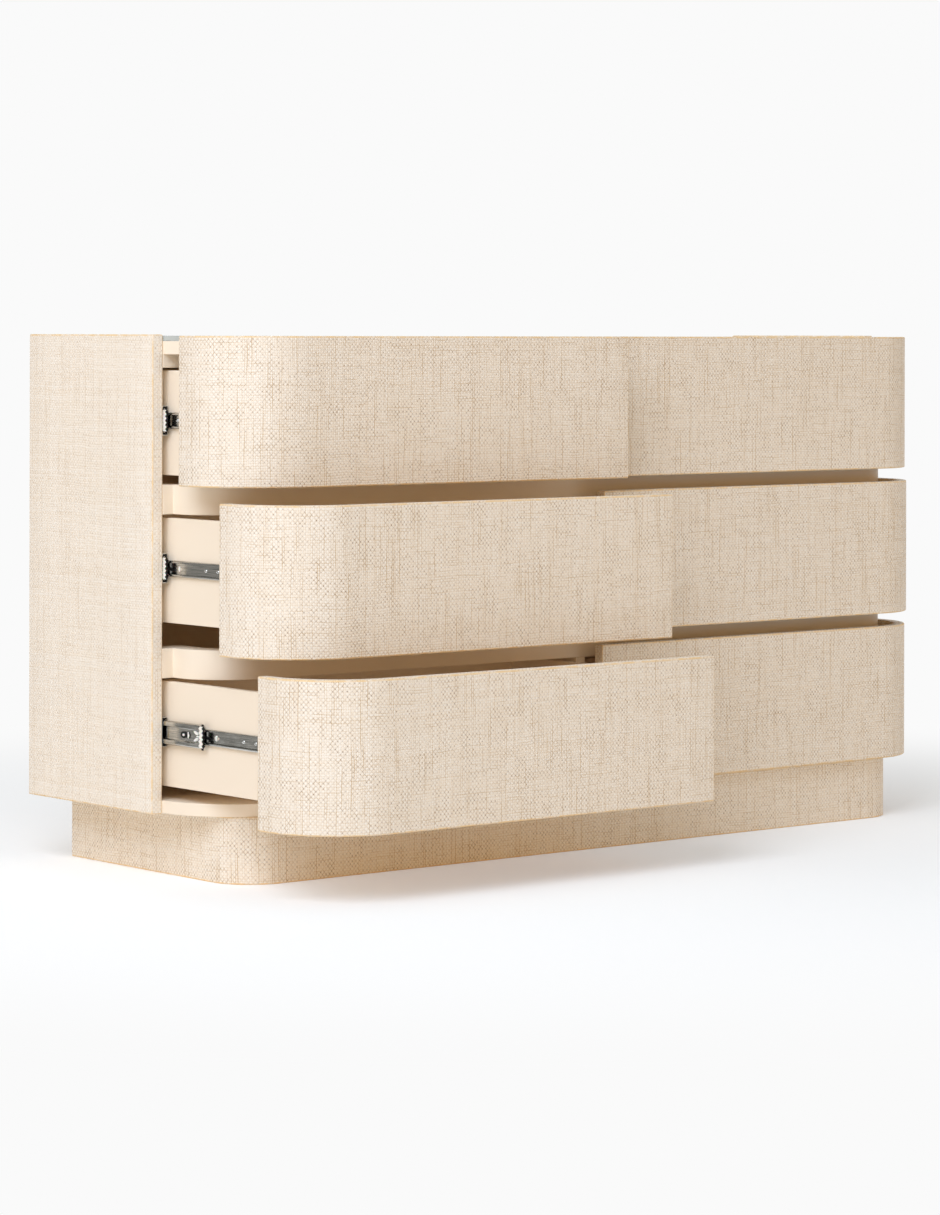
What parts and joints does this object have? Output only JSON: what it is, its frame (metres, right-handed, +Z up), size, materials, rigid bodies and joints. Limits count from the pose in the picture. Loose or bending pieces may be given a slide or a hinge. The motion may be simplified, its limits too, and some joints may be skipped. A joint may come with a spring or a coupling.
{
  "type": "chest of drawers",
  "caption": "Wide chest of drawers in two columns, with bent woven-wrapped fronts round the front corners, finger gaps for pulls, a painted case and a low plinth.",
  "frame": {"origin": "on the floor, on the underside of the plinth's middle stretcher, under the middle of the closed case", "axes": "+X to the right along the width, +Y to the back, +Z up; the drawers open along -Y"},
  "size_m": [1.524, 0.749, 0.817],
  "materials": {
    "raffia": "lacquered woven raffia wrapped over a board",
    "cream_paint": "satin cream paint on board",
    "bare_wood": "bare plywood and softwood",
    "zinc_steel": "bright zinc-plated rolled steel",
    "clear_glass": "clear tempered glass with polished edges"
  },
  "bodies": {
    "case": {"side_left": "raffia", "side_right": "raffia", "top_board": "cream_paint", "glass_top": "clear_glass", "bottom_board": "cream_paint", "divider": "cream_paint", "back_panel": "cream_paint", "upper_rail": "cream_paint", "lower_rail": "cream_paint", "top_rail": "cream_paint", "plinth": "raffia", "plinth_stretcher": "bare_wood", "fixed_slides_left": "zinc_steel", "fixed_slides_right": "zinc_steel"},
    "bottom_left_slides": {"bottom_left_middle_slides": "zinc_steel"},
    "bottom_left_drawer": {"bottom_left_front": "raffia", "bottom_left_front_ribs": "bare_wood", "bottom_left_box_sides": "cream_paint", "bottom_left_box_ends": "cream_paint", "bottom_left_box_base": "cream_paint", "bottom_left_runners": "zinc_steel"},
    "bottom_right_slides": {"bottom_right_middle_slides": "zinc_steel"},
    "bottom_right_drawer": {"bottom_right_front": "raffia", "bottom_right_front_ribs": "bare_wood", "bottom_right_box_sides": "cream_paint", "bottom_right_box_ends": "cream_paint", "bottom_right_box_base": "cream_paint", "bottom_right_runners": "zinc_steel"},
    "middle_left_slides": {"middle_left_middle_slides": "zinc_steel"},
    "middle_left_drawer": {"middle_left_front": "raffia", "middle_left_front_ribs": "bare_wood", "middle_left_box_sides": "cream_paint", "middle_left_box_ends": "cream_paint", "middle_left_box_base": "cream_paint", "middle_left_runners": "zinc_steel"},
    "middle_right_slides": {"middle_right_middle_slides": "zinc_steel"},
    "middle_right_drawer": {"middle_right_front": "raffia", "middle_right_front_ribs": "bare_wood", "middle_right_box_sides": "cream_paint", "middle_right_box_ends": "cream_paint", "middle_right_box_base": "cream_paint", "middle_right_runners": "zinc_steel"},
    "top_left_slides": {"top_left_middle_slides": "zinc_steel"},
    "top_left_drawer": {"top_left_front": "raffia", "top_left_front_ribs": "bare_wood", "top_left_box_sides": "cream_paint", "top_left_box_ends": "cream_paint", "top_left_box_base": "cream_paint", "top_left_runners": "zinc_steel"},
    "top_right_slides": {"top_right_middle_slides": "zinc_steel"},
    "top_right_drawer": {"top_right_front": "raffia", "top_right_front_ribs": "bare_wood", "top_right_box_sides": "cream_paint", "top_right_box_ends": "cream_paint", "top_right_box_base": "cream_paint", "top_right_runners": "zinc_steel"}
  },
  "joints": [
    {"name": "bottom_left_slide_extension", "type": "slide", "parent": "case", "child": "bottom_left_slides", "axis": [0, -1, 0], "range_m": [-0.095, 0.037]},
    {"name": "bottom_left_drawer_travel", "type": "slide", "parent": "bottom_left_slides", "child": "bottom_left_drawer", "axis": [0, -1, 0], "range_m": [-0.168, 0]},
    {"name": "bottom_right_slide_extension", "type": "slide", "parent": "case", "child": "bottom_right_slides", "axis": [0, -1, 0], "range_m": [0, 0.132]},
    {"name": "bottom_right_drawer_travel", "type": "slide", "parent": "bottom_right_slides", "child": "bottom_right_drawer", "axis": [0, -1, 0], "range_m": [0, 0.168]},
    {"name": "middle_left_slide_extension", "type": "slide", "parent": "case", "child": "middle_left_slides", "axis": [0, -1, 0], "range_m": [0, 0.132]},
    {"name": "middle_left_drawer_travel", "type": "slide", "parent": "middle_left_slides", "child": "middle_left_drawer", "axis": [0, -1, 0], "range_m": [-0.168, 0]},
    {"name": "middle_right_slide_extension", "type": "slide", "parent": "case", "child": "middle_right_slides", "axis": [0, -1, 0], "range_m": [0, 0.132]},
    {"name": "middle_right_drawer_travel", "type": "slide", "parent": "middle_right_slides", "child": "middle_right_drawer", "axis": [0, -1, 0], "range_m": [-0.004, 0.164]},
    {"name": "top_left_slide_extension", "type": "slide", "parent": "case", "child": "top_left_slides", "axis": [0, -1, 0], "range_m": [0, 0.132]},
    {"name": "top_left_drawer_travel", "type": "slide", "parent": "top_left_slides", "child": "top_left_drawer", "axis": [0, -1, 0], "range_m": [-0.065, 0.103]},
    {"name": "top_right_slide_extension", "type": "slide", "parent": "case", "child": "top_right_slides", "axis": [0, -1, 0], "range_m": [0, 0.132]},
    {"name": "top_right_drawer_travel", "type": "slide", "parent": "top_right_slides", "child": "top_right_drawer", "axis": [0, -1, 0], "range_m": [0, 0.168]}
  ]
}
